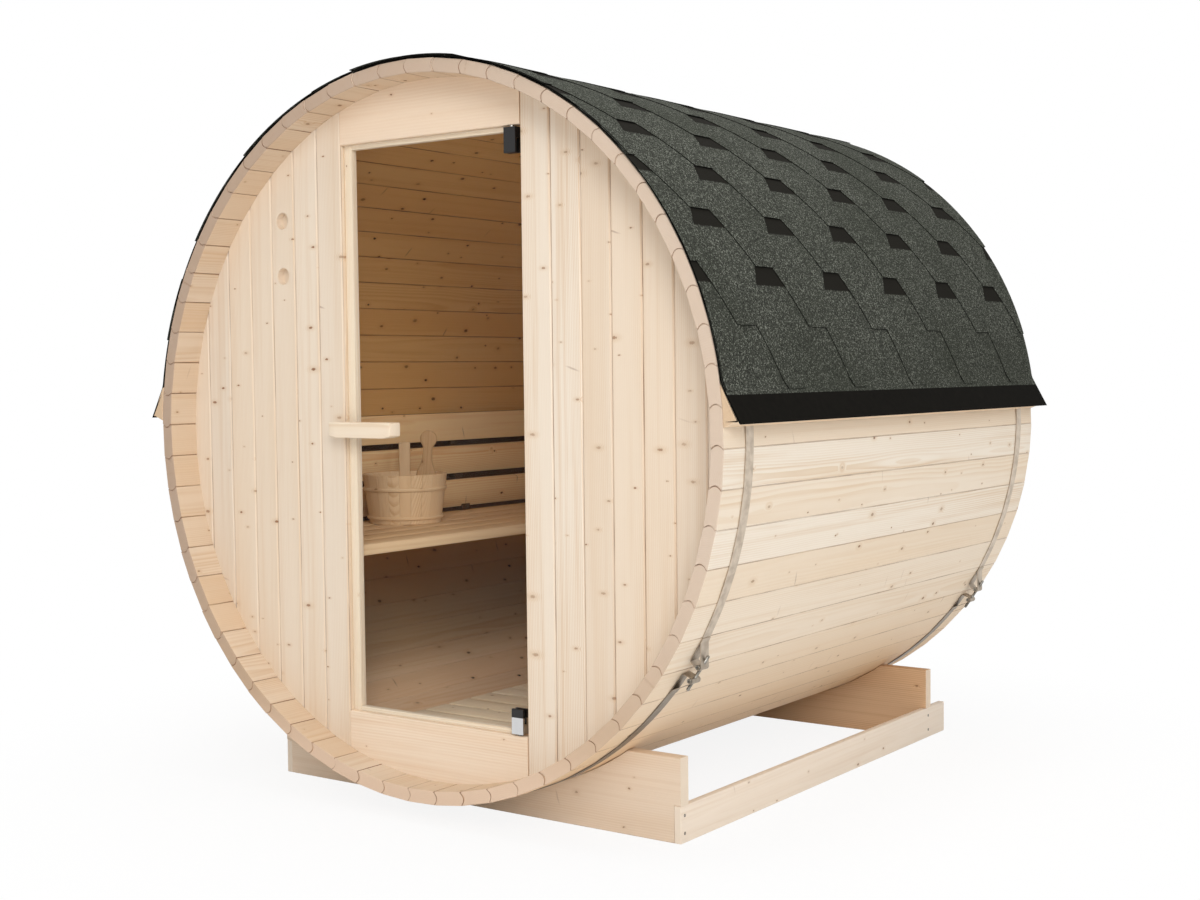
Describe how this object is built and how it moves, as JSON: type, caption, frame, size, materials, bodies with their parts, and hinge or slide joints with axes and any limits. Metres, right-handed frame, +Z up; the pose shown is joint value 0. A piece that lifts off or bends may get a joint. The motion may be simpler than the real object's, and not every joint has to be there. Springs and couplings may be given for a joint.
{
  "type": "barrel sauna",
  "caption": "Wooden barrel sauna lying on two cradles, with a shingled roof, steel hoops, a recessed end wall and a clear glass door that swings out; slatted bench and floor inside.",
  "frame": {"origin": "on the ground, at the middle of the bottom of the bounding box", "axes": "+Z up; the door end faces -Y; +X is to the right seen from the door end; the barrel's axis runs along Y"},
  "size_m": [1.9642, 1.8, 1.9316],
  "materials": {
    "stave": "planed, untreated",
    "wall_board": "planed, untreated",
    "cradle_plank": "planed, untreated",
    "bench_wood": "planed, untreated",
    "bucket_wood": "sanded",
    "handle_wood": "sanded",
    "shingle": "bitumen felt with mineral granules",
    "hoop_steel": "satin",
    "pin_steel": "satin",
    "pivot_metal": "polished, with a black cap",
    "door_glass": "clear, polished"
  },
  "bodies": {
    "sauna": {"staves_right": "stave", "staves_upper_right": "stave", "staves_top": "stave", "staves_upper_left": "stave", "staves_left": "stave", "staves_lower_left": "stave", "staves_bottom": "stave", "staves_lower_right": "stave", "front_wall_left": "wall_board", "front_wall_right": "wall_board", "door_lintel": "wall_board", "door_sill": "wall_board", "back_wall": "wall_board", "door_stops": "wall_board", "eave_wedge_left": "stave", "eave_wedge_right": "stave", "cradle_front": "cradle_plank", "cradle_rear": "cradle_plank", "rail_left": "cradle_plank", "rail_right": "cradle_plank", "bench_seat": "bench_wood", "bench_cleats": "bench_wood", "backrest": "bench_wood", "backrest_battens": "bench_wood", "floor_slats": "bench_wood", "floor_bearers": "bench_wood", "bucket": "bucket_wood", "bucket_hoops": "bucket_wood", "ladle": "bucket_wood", "hoop_front": "hoop_steel", "hoop_rear": "hoop_steel", "tensioner_front": "hoop_steel", "tensioner_rear": "hoop_steel", "pivot_pins": "pin_steel", "roof_cover": "shingle"},
    "door": {"door_glass": "door_glass", "pivot_top": "pivot_metal", "pivot_bottom": "pivot_metal", "door_handle": "handle_wood"}
  },
  "joints": [
    {"name": "door_hinge", "type": "hinge", "parent": "sauna", "child": "door", "pos_m": [0.274, -0.801, 0.988], "axis": [0, 0, 1], "range_deg": [0, 105]}
  ]
}
